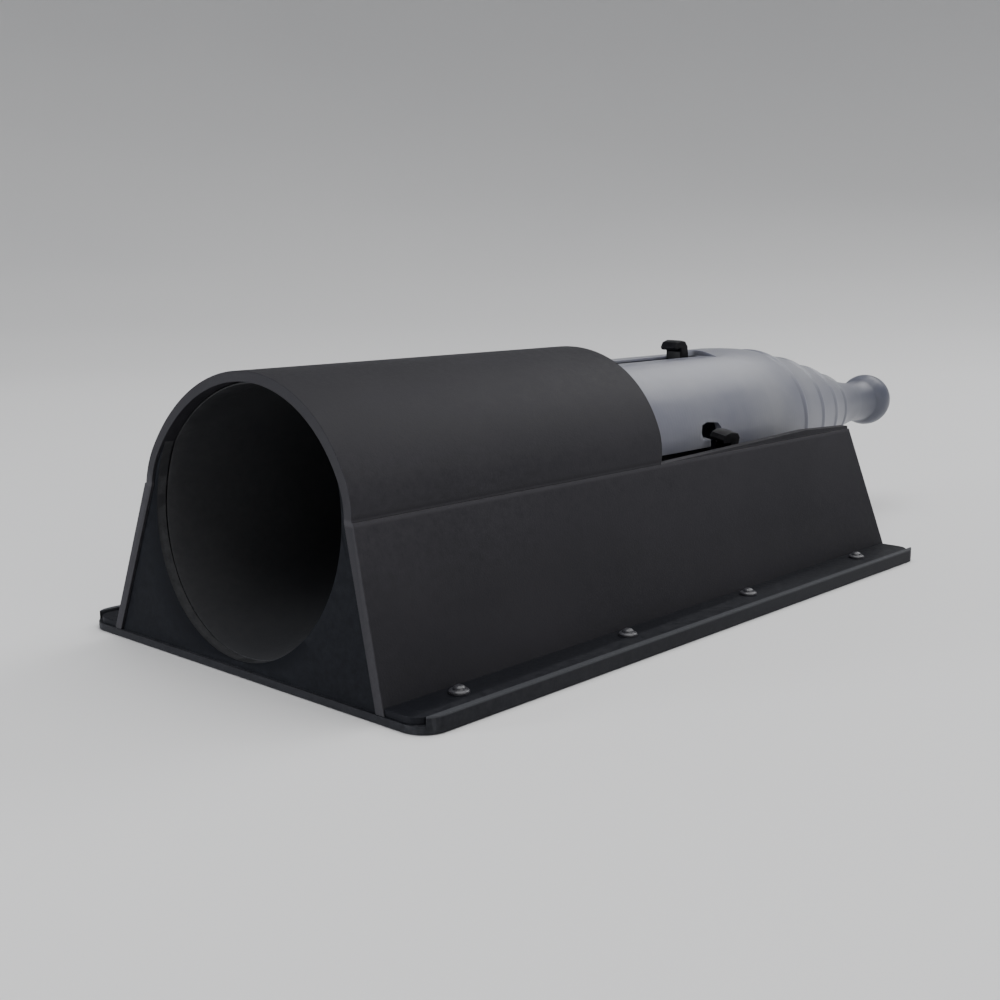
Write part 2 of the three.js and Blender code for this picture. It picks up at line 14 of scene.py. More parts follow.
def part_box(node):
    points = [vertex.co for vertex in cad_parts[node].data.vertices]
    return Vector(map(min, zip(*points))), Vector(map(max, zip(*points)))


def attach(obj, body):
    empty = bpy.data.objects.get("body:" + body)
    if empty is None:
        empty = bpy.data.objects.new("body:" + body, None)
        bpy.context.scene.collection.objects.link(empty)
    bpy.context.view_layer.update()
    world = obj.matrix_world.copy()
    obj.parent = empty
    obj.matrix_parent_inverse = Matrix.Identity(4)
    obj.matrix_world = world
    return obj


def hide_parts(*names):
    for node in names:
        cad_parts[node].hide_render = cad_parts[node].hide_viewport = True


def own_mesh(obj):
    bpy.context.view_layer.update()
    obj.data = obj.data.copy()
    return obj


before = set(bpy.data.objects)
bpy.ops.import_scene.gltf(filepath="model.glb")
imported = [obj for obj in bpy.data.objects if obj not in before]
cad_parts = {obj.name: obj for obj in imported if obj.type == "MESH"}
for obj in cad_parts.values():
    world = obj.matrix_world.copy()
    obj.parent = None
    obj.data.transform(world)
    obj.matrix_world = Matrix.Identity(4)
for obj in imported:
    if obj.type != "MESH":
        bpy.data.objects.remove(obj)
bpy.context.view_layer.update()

MM = 0.001
FRONT_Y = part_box("base_plate")[0].y

# Housing
HOUSING_LENGTH = 125
WALL = 1.4
WALL_FOOT_X = 28.1
FOOT_TOP_Z = 1.9
ARCH_RADIUS = 23
ARCH_CENTRE_Z = 16.3
HAUNCH_RADIUS = 10.97
HAUNCH_START = math.radians(30)
HAUNCH_END = math.radians(2)
LEDGE = 0.29
RIM_ROUNDING = 0.28
SHARP_ANGLE = 30
FRONT_LEAN = 0.08
ROOF_END_Y = 58
ROOF_END_LEAN = 0.26
REAR_LEAN = -0.13
WALL_CREST_Y = 107
WALL_CREST_Z = 23.8
WALL_REAR_Z = 23.1

# Base
BASE_HALF_WIDTH = 35.1
BASE_LENGTH = 124.4
BASE_THICKNESS = 1
LIP_WIDTH = 0.9
LIP_TOP_Z = 2.2
BASE_CORNER_RADIUS = 3.5
GAP = 0.3

# Entrance
MOUTH_RADIUS = 19.2
MOUTH_Z = 21.1
PLATE_THICKNESS = 1.4
PLATE_SETBACK = 0.4
FUNNEL_START_Y = -4
FUNNEL_END_Y = 46.6
FUNNEL_STEPS = 16
SKIN = 0.25
FUNNEL_WALL = 1.1
FUNNEL_FLARE = 0.85
BARREL_INNER = 10.8

# Loading cone
AXIS_Z = 22.8
CONE_RIM_Y = 62.5
CONE_RADIUS = 14.2
CONE_WALL = 1.15
CONE_SHOULDER_Y = 108
CONE_SLOT = 4.6
CONE_FLAT = 13.2
SLOT_DEPTH = (8, 20)
HOLLOW_END_Y = 148
RIDGES_Y = (122, 132, 141, 149)
RIDGE_HEIGHT = 0.34
RIDGE_HALF_WIDTH = 0.9
NECK_Y = 161
NECK_RADIUS = 4.2
BALL_Y = 170
BALL_RADIUS = 5.4
TAPER = (
    (CONE_RADIUS, CONE_SHOULDER_Y),
    (13.6, 118),
    (12, 127.5),
    (9.8, 137.5),
    (7.6, 146),
    (5.3, 154),
    (NECK_RADIUS, NECK_Y),
)

# Ring fingers, as far as the cone's slots need them
FINGERS = (("top", 90, 95.2, 0), ("bottom", 270, 76, 0), ("right", -12, 86, -1), ("left", 192, 86, 1))
PLAIN_HOOK = 4.2
EARED_HOOK = 5.6
EARED_BEAK = 2.6
EAR_TOP = 5.8
SLOT_PAST_HOOK = 3.5
SLOT_PAST_EAR = 1.2
EAR_ROOM = 0.5

# Camera and the point that the lights face, in metres in the row's frame
CAMERA_EYE = (0.1375, -0.1875, 0.0533)
CAMERA_TARGET = (-0.0066, -0.0293, 0.0145)
CAMERA_LENS = 48
TRAP_CENTRE = (0, 0, 0.02)

# Colour of the smooth charcoal plastic of the base and the foot strips
SATIN = (0.006, 0.0065, 0.009)

# Steps along the arch, round the tunnel's axis and round a pin head
ARC_STEPS = 72
ROUND_STEPS = 128
PIN_STEPS = 32

# How far a cutter reaches past everything, and how far a solid goes past the planes that trim it
FAR = 200
PAST = 5


def place(point):
    """A point of the build frame, in metres in the row's frame."""
    x, y, z = point
    return Vector((x * MM, FRONT_Y + y * MM, z * MM))


# ---------------------------------------------------------------- meshes


def mesh_object(name, points, faces):
    """An object from points in millimetres, with its normals facing out."""
    mesh = bpy.data.meshes.new(name)
    mesh.from_pydata([place(p) for p in points], [], faces)
    bm = bmesh.new()
    bm.from_mesh(mesh)
    bmesh.ops.remove_doubles(bm, verts=bm.verts, dist=1e-7)
    bmesh.ops.recalc_face_normals(bm, faces=bm.faces)
    bm.to_mesh(mesh)
    bm.free()
    obj = bpy.data.objects.new(name, mesh)
    bpy.context.scene.collection.objects.link(obj)
    return obj


def loft(name, rings, caps=True):
    """Rings of points, all of one length, joined one to the next."""
    count = len(rings[0])
    points = [p for ring in rings for p in ring]
    faces = []
    for k in range(len(rings) - 1):
        for i in range(count):
            j = (i + 1) % count
            faces.append((k * count + i, k * count + j, (k + 1) * count + j, (k + 1) * count + i))
    if caps:
        faces.append(tuple(range(count)))
        faces.append(tuple(range(len(points) - count, len(points))))
    return mesh_object(name, points, faces)


def prism_y(name, outline, y0, y1):
    """An outline of (x, z) points drawn out along y."""
    return loft(name, [[(x, y, z) for x, z in outline] for y in (y0, y1)])


def prism_x(name, outline, x0, x1):
    """An outline of (y, z) points drawn out along x."""
    return loft(name, [[(x, y, z) for y, z in outline] for x in (x0, x1)])


def prism_z(name, outline, z0, z1):
    """An outline of (x, y) points drawn out along z."""
    return loft(name, [[(x, y, z) for x, y in outline] for z in (z0, z1)])


def revolve(name, profile):
    """A profile of (radius, y) points, from the tunnel's axis back to it, turned round that axis."""
    points = []
    index = []
    for r, y in profile:
        row = []
        for i in range(ROUND_STEPS if r > 0 else 1):
            a = 2 * math.pi * i / ROUND_STEPS
            row.append(len(points))
            points.append((r * math.cos(a), y, AXIS_Z + r * math.sin(a)))
        index.append(row)
    faces = []
    for a, b in zip(index, index[1:]):
        for i in range(ROUND_STEPS):
            j = (i + 1) % ROUND_STEPS
            corners = (a[i % len(a)], a[j % len(a)], b[j % len(b)], b[i % len(b)])
            faces.append(tuple(dict.fromkeys(corners)))
    return mesh_object(name, points, faces)


def boolean(obj, other, operation):
    """Cuts obj with another solid, or joins the two. The other solid is then thrown away."""
    modifier = obj.modifiers.new("cut", "BOOLEAN")
    modifier.operation = operation
    modifier.solver = "EXACT"
    modifier.object = other
    depsgraph = bpy.context.evaluated_depsgraph_get()
    mesh = bpy.data.meshes.new_from_object(obj.evaluated_get(depsgraph))
    obj.modifiers.clear()
    old = obj.data
    obj.data = mesh
    bpy.data.meshes.remove(old)
    bpy.data.objects.remove(other)


def past_plane(foot, lean, side):
    """A block that fills all the space on one side of the plane y = foot + lean * z."""
    low, high = -FAR, FAR
    near = ((foot + lean * low, low), (foot + lean * high, high))
    far = ((near[1][0] + side * FAR, high), (near[0][0] + side * FAR, low))
    return prism_x("cutter", near + far, -FAR, FAR)


def round_axis(obj, angle):
    """Turns a solid made over the top of the tunnel's axis to an angle round it."""
    centre = place((0, 0, AXIS_Z))
    turn = Matrix.Rotation(math.radians(90 - angle), 4, "Y")
    obj.data.transform(Matrix.Translation(centre) @ turn @ Matrix.Translation(-place((0, 0, 0))))
    return obj


def soften(obj, width, segments=3, angle=35):
    """Rounds the edges sharper than an angle, to a width in millimetres, and shades the rest smooth."""
    for polygon in obj.data.polygons:
        polygon.use_smooth = True
    weld = obj.modifiers.new("weld", "WELD")
    weld.merge_threshold = 2e-6
    bevel = obj.modifiers.new("edges", "BEVEL")
    bevel.width = width * MM
    bevel.segments = segments
    bevel.limit_method = "ANGLE"
    bevel.angle_limit = math.radians(angle)
    bevel.miter_outer = "MITER_ARC"
    bevel.use_clamp_overlap = True
    normals = obj.modifiers.new("normals", "WEIGHTED_NORMAL")
    normals.keep_sharp = True
    return obj


# ---------------------------------------------------------------- outlines


def haunch():
    """The centre of the right haunch, the tighter arc between the arch and its side wall."""
    reach = ARCH_RADIUS - HAUNCH_RADIUS
    return reach * math.cos(HAUNCH_START), ARCH_CENTRE_Z + reach * math.sin(HAUNCH_START)


def crease():
    """The outer edge of the small ledge between the arch and the flat side wall."""
    x, z = haunch()
    return x + HAUNCH_RADIUS * math.cos(HAUNCH_END) + LEDGE, z + HAUNCH_RADIUS * math.sin(HAUNCH_END)


def arc(x, z, radius, start, end, steps):
    """Points on a circle round (x, z), from one angle to another."""
    angles = (start + (end - start) * i / steps for i in range(steps + 1))
    return [(x + radius * math.cos(a), z + radius * math.sin(a)) for a in angles]


def arch_outline(inset, foot_z):
    """The housing's outline from foot to foot over the arch. Only the outer one has the ledge."""
    x, z = haunch()
    crease_x, crease_z = crease()
    slope = (WALL_FOOT_X - crease_x) / (crease_z - FOOT_TOP_Z)
    foot_x = WALL_FOOT_X + slope * (FOOT_TOP_Z - foot_z) - inset * math.hypot(1, slope)
    wall = [(foot_x, foot_z)] if inset else [(foot_x, foot_z), (crease_x, crease_z)]
    right = wall + arc(x, z, HAUNCH_RADIUS - inset, HAUNCH_END, HAUNCH_START, 12)
    over = arc(0, ARCH_CENTRE_Z, ARCH_RADIUS - inset, HAUNCH_START, math.pi - HAUNCH_START, ARC_STEPS)
    left = [(-px, pz) for px, pz in reversed(right)]
    return right + over[1:-1] + left


def taper_points(steps=10):
    """The cone's outline behind its shoulder: a Catmull-Rom curve through the points of TAPER."""
    ghosts = [(TAPER[0][0], TAPER[0][1] - 8), *TAPER, (TAPER[-1][0] - 0.2, TAPER[-1][1] + 5)]
    outline = []
    for i in range(1, len(ghosts) - 2):
        p0, p1, p2, p3 = (Vector(p) for p in ghosts[i - 1 : i + 3])
        for k in range(steps):
            t = k / steps
            a = 2 * p1
            b = (p2 - p0) * t
            c = (2 * p0 - 5 * p1 + 4 * p2 - p3) * t * t
            d = (3 * p1 - p0 - 3 * p2 + p3) * t**3
            outline.append(tuple((a + b + c + d) / 2))
    return outline


def with_ridges(outline):
    """The outline with a low round ridge at each of RIDGES_Y."""
    ridged = []
    for r, y in outline:
        lift = sum(
            RIDGE_HEIGHT * math.cos((y - at) / RIDGE_HALF_WIDTH * math.pi / 2)
            for at in RIDGES_Y
            if abs(y - at) < RIDGE_HALF_WIDTH
        )
        ridged.append((r + lift, y))
    return ridged


# ---------------------------------------------------------------- pieces


def housing():
    """The tunnel's shell with the strip that it stands on."""
    bottom = BASE_THICKNESS
    shell = prism_y("housing", arch_outline(0, bottom), -PAST, HOUSING_LENGTH + PAST)
    foot_x = BASE_HALF_WIDTH - LIP_WIDTH - GAP
    corners = ((foot_x, GAP), (foot_x, BASE_LENGTH - GAP), (-foot_x, BASE_LENGTH - GAP), (-foot_x, GAP))
    feet = prism_z("cutter", rounded(corners, BASE_CORNER_RADIUS - LIP_WIDTH), bottom, FOOT_TOP_Z)
    boolean(shell, feet, "UNION")
    boolean(shell, prism_y("cutter", arch_outline(WALL, -1), -2 * PAST, FAR), "DIFFERENCE")
    boolean(shell, past_plane(0, FRONT_LEAN, -1), "DIFFERENCE")
    boolean(shell, past_plane(HOUSING_LENGTH, REAR_LEAN, 1), "DIFFERENCE")
    boolean(shell, roof_cut_out(), "DIFFERENCE")
    mark_edges(shell)
    for polygon in shell.data.polygons:
        corners = [shell.data.vertices[i].co for i in polygon.vertices]
        low = all(c.z < (FOOT_TOP_Z + 0.01) * MM for c in corners)
        if low and all(abs(c.x) > (WALL_FOOT_X - 1) * MM for c in corners):
            polygon.material_index = 1
    soften(shell, RIM_ROUNDING, 3).modifiers["edges"].limit_method = "WEIGHT"
    return shell


def mark_edges(obj):
    """Gives every outer edge full rounding, the ledge's edge half of it, and inner corners none."""
    bm = bmesh.new()
    bm.from_mesh(obj.data)
    weight = bm.edges.layers.float.new("bevel_weight_edge")
    ledge_z = crease()[1] * MM
    for edge in bm.edges:
        angle = math.degrees(edge.calc_face_angle_signed(0))
        if angle > SHARP_ANGLE:
            on_ledge = all(abs(v.co.z - ledge_z) < 0.02 * MM for v in edge.verts)
            edge[weight] = 0.5 if on_ledge else 1
        edge.smooth = -6 < angle <= SHARP_ANGLE
    bm.to_mesh(obj.data)
    bm.free()


def roof_cut_out():
    """What is missing over the loading cone: the roof, down to the tops of the side walls."""
    low = crease()[1]
    high = 60
    outline = [
        (ROOF_END_Y + ROOF_END_LEAN * low, low),
        (WALL_CREST_Y, WALL_CREST_Z),
        (HOUSING_LENGTH, WALL_REAR_Z),
        (FAR, WALL_REAR_Z),
        (FAR, high),
        (ROOF_END_Y + ROOF_END_LEAN * high, high),
    ]
    return prism_x("cutter", outline, -FAR, FAR)


def rounded(corners, radius, steps=8):
    """A convex outline with its right-angled corners rounded."""
    outline = []
    for i, corner in enumerate(corners):
        here = Vector(corner)
        a = (Vector(corners[i - 1]) - here).normalized() * radius
        b = (Vector(corners[(i + 1) % len(corners)]) - here).normalized() * radius
        for k in range(steps + 1):
            t = math.pi / 2 * k / steps
            outline.append(tuple(here + a + b - a * math.sin(t) - b * math.cos(t)))
    return outline


def front_plate():
    """The flat front round the mouth. The faces of its hole take the throat's paler material, a painted
    highlight along the mouth's rim.
    """
    outline = arch_outline(WALL + 0.05, BASE_THICKNESS)
    plate = prism_y("mouth_plate", outline, -PAST, 2 * PAST)
    boolean(plate, past_plane(PLATE_SETBACK, FRONT_LEAN, -1), "DIFFERENCE")
    boolean(plate, past_plane(PLATE_SETBACK + PLATE_THICKNESS, FRONT_LEAN, 1), "DIFFERENCE")
    boolean(plate, mouth_cylinder(), "DIFFERENCE")
    # The hole's faces take the paler throat material: a painted highlight along the mouth's rim.
    for polygon in plate.data.polygons:
        corners = [plate.data.vertices[i].co / MM for i in polygon.vertices]
        if all(abs(math.hypot(c.x, c.z - MOUTH_Z) - MOUTH_RADIUS) < 0.02 for c in corners):
            polygon.material_index = 1
    return soften(plate, 0.3, 4, 30)


def mouth_cylinder():
    """The mouth's hole, as a solid."""
    angles = [2 * math.pi * i / ROUND_STEPS for i in range(ROUND_STEPS)]
    outline = [(MOUTH_RADIUS * math.cos(a), MOUTH_Z + MOUTH_RADIUS * math.sin(a)) for a in angles]
    return prism_y("cutter", outline, -2 * PAST, 4 * PAST)


def funnel():
    """The sleeve from the mouth to the barrel, flared at the front to meet the front plate's hole.

    It hugs the housing wherever the arch is in its way.
    """
    inside = arch_outline(WALL + 0.1, BASE_THICKNESS + 0.1)
    steps = [i / FUNNEL_STEPS for i in range(FUNNEL_STEPS + 1)]
    rings = [funnel_ring(t, 0, SKIN, inside) for t in steps]
    rings += [funnel_ring(t, FUNNEL_WALL, 0, inside) for t in reversed(steps)]
    sleeve = loft("funnel", [*rings, rings[0]], caps=False)
    return soften(sleeve, 0.1, 2, 50)


def funnel_ring(t, thickness, clearance, inside):
    """One ring of the funnel, t of the way along it. The front ring leans as the front plate does."""
    start = PLATE_SETBACK + PLATE_THICKNESS + 0.1
    centre = MOUTH_Z + (AXIS_Z - MOUTH_Z) * t
    ring = []
    for i in range(ROUND_STEPS):
        a = 2 * math.pi * i / ROUND_STEPS
        lean = FRONT_LEAN * (centre + MOUTH_RADIUS * math.sin(a)) * (1 - t)
        y = start + (FUNNEL_END_Y - start) * t + lean
        narrowing = (y - FUNNEL_START_Y) / (FUNNEL_END_Y - FUNNEL_START_Y)
        radius = MOUTH_RADIUS + (BARREL_INNER + 0.1 - MOUTH_RADIUS) * narrowing + 0.1 + thickness
        if not thickness:
            radius += FUNNEL_FLARE * (1 - t) ** 6
        r = min(radius, reach(inside, centre, a) - clearance)
        ring.append((r * math.cos(a), y, centre + r * math.sin(a)))
    return ring


def reach(outline, height, angle):
    """How far it is from the point (0, height) to an outline, at an angle."""
    dx = math.cos(angle)
    dz = math.sin(angle)
    nearest = FAR
    for (x0, z0), (x1, z1) in zip(outline, outline[1:] + outline[:1]):
        ex = x1 - x0
        ez = z1 - z0
        cross = dx * ez - dz * ex
        if abs(cross) > 1e-9:
            away = (x0 * ez - (z0 - height) * ex) / cross
            along = (x0 * dz - (z0 - height) * dx) / cross
            if away > 0 and -1e-6 < along < 1 + 1e-6:
                nearest = min(nearest, away)
    return nearest


def cone():
    """The hollow loading cone with its ridges, its ball tip and a slot for each finger."""
    taper = taper_points()
    fine = []
    for (r0, y0), (r1, y1) in zip(taper, taper[1:] + [(NECK_RADIUS, NECK_Y)]):
        count = 4 if RIDGES_Y[0] - 2 < y0 < RIDGES_Y[-1] + 2 else 1
        for k in range(count):
            t = k / count
            fine.append((r0 + (r1 - r0) * t, y0 + (y1 - y0) * t))
    outer = with_ridges(fine)
    hollow = [(r - CONE_WALL - 0.1, y - 0.4) for r, y in taper[::3] if y < HOLLOW_END_Y]
    rim = [(CONE_RADIUS - CONE_WALL, CONE_RIM_Y), (CONE_RADIUS, CONE_RIM_Y)]
    body = [(CONE_RADIUS, CONE_RIM_Y + (CONE_SHOULDER_Y - CONE_RIM_Y) * k / 8) for k in range(1, 8)]
    profile = [(0, HOLLOW_END_Y), *reversed(hollow), *rim, *body, *outer, *ball_points()]
    shape = revolve("cone", profile)
    for _, angle, hook_y, side in FINGERS:
        boolean(shape, cone_slot(angle, hook_y, side), "DIFFERENCE")
    return soften(shape, 0.22, 3, 40)


def ball_points(steps=22):
    """The ball tip's outline, from the neck to the axis."""
    first = math.pi - math.asin((NECK_RADIUS - 0.3) / BALL_RADIUS)
    points = []
    for i in range(steps):
        a = first * (1 - i / steps)
        points.append((BALL_RADIUS * math.sin(a), BALL_Y + BALL_RADIUS * math.cos(a)))
    neck = [(NECK_RADIUS, NECK_Y), (NECK_RADIUS - 0.1, NECK_Y + 2.2)]
    return [*neck, *points[1:], (0, BALL_Y + BALL_RADIUS)]


def cone_slot(angle, hook_y, side):
    """The slot that a finger lies in, with room for a side finger's ear to swing in.

    The top finger's slot runs along a flat.
    """
    half = CONE_SLOT / 2
    end = hook_y + (EARED_HOOK + SLOT_PAST_EAR if side else PLAIN_HOOK + SLOT_PAST_HOOK)
    start = CONE_RIM_Y - 1
    low, high = SLOT_DEPTH
    slot = prism_z("cutter", [(-half, start), (half, start), *slot_end(half, end)], low, high)
    if side:
        boolean(slot, ear_cutter(hook_y, side), "UNION")
    if angle == 90:
        wide = CONE_RADIUS
        corners = ((-wide, start), (wide, start), (wide, end), (-wide, end))
        flat = prism_z("cutter", corners, CONE_FLAT, high + 1)
        boolean(slot, flat, "UNION")
    return round_axis(slot, angle)


def slot_end(half, end, steps=8):
    """The rounded rear end of a slot."""
    angles = (math.pi * i / steps for i in range(steps + 1))
    return [(half * math.cos(a), end - half + half * math.sin(a)) for a in angles]


def ear_cutter(y, side):
    """The room that a side finger's ear needs: the ear's own outline, grown by EAR_ROOM."""
    m = EAR_ROOM
    front = y + EARED_BEAK - m
    end = y + EARED_HOOK + m
    outline = [
        (-1, front),
        (EAR_TOP - 1.8 - m, front),
        (EAR_TOP - 1.7 - m, y + 0.5 - m),
        (EAR_TOP - 1.1, y - m),
        (EAR_TOP - 0.4 + m, y + 0.4 - m),
        (EAR_TOP + m, y + 2 - m),
        (EAR_TOP - 0.3 + m, end - 1.4),
        (EAR_TOP - 1.1 + m, end - 0.6),
        (-1, end - 0.3),
    ]
    low, high = SLOT_DEPTH
    return prism_z("cutter", [(side * x, v) for x, v in outline], low + 0.1, high + 0.1)


def foot_pin(node):
    """A low domed pin head with a flat collar, on the housing's foot."""
    low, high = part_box(node)
    centre = (low + high) / 2
    x = centre.x / MM
    y = (centre.y - FRONT_Y) / MM
    profile = [(1.32, 0), (1.32, 0.32), (1.12, 0.5), (0.95, 0.52)]
    steps = 8
    for i in range(steps):
        a = math.pi / 2 * i / steps
        profile.append((0.86 * math.cos(a), 0.52 + 0.53 * math.sin(a)))
    rings = []
    for r, h in profile:
        angles = (2 * math.pi * i / PIN_STEPS for i in range(PIN_STEPS))
        rings.append([(x + r * math.cos(a), y + r * math.sin(a), FOOT_TOP_Z + h) for a in angles])
    return soften(loft("head_" + node, rings), 0.06, 2, 40)


# ---------------------------------------------------------------- materials


class Look:
    """A material under construction: its shader, and the kinds of node that feed it."""

    def __init__(self, material):
        self.nodes = material.node_tree.nodes
        self.links = material.node_tree.links
        self.shader = self.nodes["Principled BSDF"]
        self.coordinates = self.nodes.new("ShaderNodeTexCoord").outputs["Object"]

    def feed(self, socket, value):
        """Links a socket's output into another, or writes down a plain value."""
        if isinstance(value, bpy.types.NodeSocket):
            self.links.new(value, socket)
        else:
            socket.default_value = value

    def noise(self, scale, detail=2.0, roughness=0.5):
        node = self.nodes.new("ShaderNodeTexNoise")
        node.inputs["Scale"].default_value = scale
        node.inputs["Detail"].default_value = detail
        node.inputs["Roughness"].default_value = roughness
        self.links.new(self.coordinates, node.inputs["Vector"])
        return node.outputs["Fac"]

    def along(self, axis):
        """The coordinate along X, Y or Z."""
        node = self.nodes.new("ShaderNodeSeparateXYZ")
        self.links.new(self.coordinates, node.inputs["Vector"])
        return node.outputs[axis]

    def ramp(self, value, start, end, low=0, high=1):
        """A value that goes from start to end, made to go from low to high and held there."""
        node = self.nodes.new("ShaderNodeMapRange")
        node.inputs["From Min"].default_value = start
        node.inputs["From Max"].default_value = end
        node.inputs["To Min"].default_value = low
        node.inputs["To Max"].default_value = high
        self.links.new(value, node.inputs["Value"])
        return node.outputs["Result"]

    def spread(self, value, low, high):
        """A noise, which is mostly from 0.3 to 0.7, spread from low to high."""
        return self.ramp(value, 0.3, 0.7, low, high)

    def maths(self, operation, first, second=0.0, clamp=False):
        node = self.nodes.new("ShaderNodeMath")
        node.operation = operation
        node.use_clamp = clamp
        self.feed(node.inputs[0], first)
        self.feed(node.inputs[1], second)
        return node.outputs[0]

    def mixed(self, factor, first, second):
        """A colour between two, each an output or three numbers."""
        node = self.nodes.new("ShaderNodeMix")
        node.data_type = "RGBA"
        self.links.new(factor, node.inputs["Factor"])
        for name, colour in (("A", first), ("B", second)):
            self.feed(node.inputs[name], (*colour, 1) if isinstance(colour, tuple) else colour)
        return node.outputs["Result"]

    def bumps(self, *heights):
        """Chains bump nodes, one for each (height, strength, distance in millimetres)."""
        normal = None
        for height, strength, distance in heights:
            bump = self.nodes.new("ShaderNodeBump")
            bump.inputs["Strength"].default_value = strength
            bump.inputs["Distance"].default_value = distance * MM
            self.links.new(height, bump.inputs["Height"])
            if normal:
                self.links.new(normal, bump.inputs["Normal"])
            normal = bump.outputs["Normal"]
        self.links.new(normal, self.shader.inputs["Normal"])

    def outer_edges(self):
        """1 on sharp outer edges, 0 elsewhere."""
        geometry = self.nodes.new("ShaderNodeNewGeometry")
        return self.ramp(geometry.outputs["Pointiness"], 0.51, 0.56)

    def shade(self, **inputs):
        """Links outputs or writes values into the shader's inputs, named with _ for each space."""
        for name, value in inputs.items():
            self.feed(self.shader.inputs[name.replace("_", " ")], value)


def new_material(name):
    material = bpy.data.materials.new(name)
    material.use_nodes = True
    return material, Look(material)


def plastic(name, colour, tint, roughness, grain, grain_depth, specular=0.5, coat=0.0, wear=0.5):
    """Moulded plastic: an eroded grain, slow waves, colour that drifts, and edges rubbed a little paler."""
    material, look = new_material(name)
    speck = look.noise(900, 3, 0.7)
    drift = look.spread(look.noise(45, 3), 0, 0.7)
    both = look.maths("ADD", drift, look.spread(speck, -0.15, 0.3), clamp=True)
    body = look.mixed(both, colour, tint)
    patchy = look.spread(speck, 0.4 * wear, 1.2 * wear)
    rubbed = look.maths("MULTIPLY", look.outer_edges(), patchy, clamp=True)
    paler = tuple(c * 1.8 + 0.012 for c in tint)
    look.shade(
        Base_Color=look.mixed(rubbed, body, paler),
        Roughness=look.spread(speck, roughness - 0.06, roughness + 0.07),
        Specular_IOR_Level=specular,
        Coat_Weight=coat,
        Coat_Roughness=0.25,
    )
    look.bumps((look.noise(60, 1), 0.25, 0.25), (look.noise(grain, 3, 0.65), 0.5, grain_depth))
    return material


def paint_highlight_band(material, height, half_width, colour):
    """Paints a plastic paler in a narrow band at one height, in millimetres over the ground: a painted
    highlight.
    """
    look = Look(material)
    away = look.maths("ABSOLUTE", look.maths("SUBTRACT", look.along("Z"), height * MM))
    highlight_band = look.ramp(away, half_width * MM, 0.4 * half_width * MM)
    base = look.shader.inputs["Base Color"].links[0].from_socket
    look.shade(Base_Color=look.mixed(highlight_band, base, colour))


def milky_plastic():
    """Natural polypropylene: cloudy, waxy, lit from within, darker towards its ball tip, finely turned."""
    material, look = new_material("milky_plastic")
    cloud = look.noise(55, 4, 0.55)
    rings = look.nodes.new("ShaderNodeTexWave")
    rings.bands_direction = "Y"
    rings.inputs["Scale"].default_value = 420
    rings.inputs["Distortion"].default_value = 1.2
    rings.inputs["Detail"].default_value = 2
    look.links.new(look.coordinates, rings.inputs["Vector"])
    hollow = look.mixed(look.spread(cloud, 0, 1), (0.135, 0.14, 0.178), (0.205, 0.21, 0.232))
    darkening_from = place((0, RIDGES_Y[-1] - 8, 0)).y
    # A ramp that darkens the colour towards the ball tip.
    solid = look.ramp(look.along("Y"), darkening_from, place((0, BALL_Y, 0)).y)
    look.shade(
        Base_Color=look.mixed(solid, hollow, (0.075, 0.08, 0.105)),
        Roughness=look.spread(cloud, 0.3, 0.42),
        Subsurface_Weight=0.55,
        Subsurface_Radius=(1.0, 1.0, 1.1),
        Subsurface_Scale=2.2 * MM,
        Specular_IOR_Level=0.25,
        Coat_Weight=0.05,
        Coat_Roughness=0.2,
    )
    look.bumps((rings.outputs["Fac"], 0.12, 0.02), (look.noise(1500), 0.2, 0.02))
    return material


def wire_steel():
    """Drawn steel wire: fine scratches along its length."""
    material, look = new_material("wire_steel")
    fine = look.noise(2600, 3, 0.7)
    look.shade(
        Base_Color=look.mixed(look.noise(240), (0.42, 0.42, 0.44), (0.62, 0.61, 0.60)),
        Roughness=look.spread(fine, 0.22, 0.4),
        Metallic=1.0,
    )
    look.bumps((fine, 0.3, 0.02))
    return material


def floor_material():
    """Pale paint that varies a little."""
    material, look = new_material("floor_paint")
    cloud = look.noise(3)
    look.shade(
        Base_Color=look.mixed(cloud, (0.70, 0.70, 0.71), (0.74, 0.74, 0.74)),
        Roughness=look.spread(cloud, 0.6, 0.7),
    )
    return material


def dress_node(node, material, width=0.15, angle=35):
    """A CAD node that stays: its edges are rounded and it gets its material."""
    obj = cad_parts[node]
    obj.data.materials.clear()
    obj.data.materials.append(material)
    return soften(obj, width, 2, angle)


def add(obj, body, slot, material, *nodes):
    """Puts a piece on its body in place of its CAD nodes."""
    obj.data.materials.append(material)
    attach(obj, body)
    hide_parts(*nodes)
    return obj


# ---------------------------------------------------------------- stage


def aim(obj, location, target):
    """Puts a light or a camera at one point, looking at another."""
    obj.location = location
    obj.rotation_euler = (Vector(target) - Vector(location)).to_track_quat("-Z", "Y").to_euler()
    bpy.context.scene.collection.objects.link(obj)


def area_light(name, location, size, power, colour=(1, 1, 1)):
    """A soft rectangular light that points at the trap."""
    data = bpy.data.lights.new(name, "AREA")
    data.shape = "RECTANGLE"
    data.size, data.size_y = size
    data.energy = power
    data.color = colour
    aim(bpy.data.objects.new(name, data), location, TRAP_CENTRE)


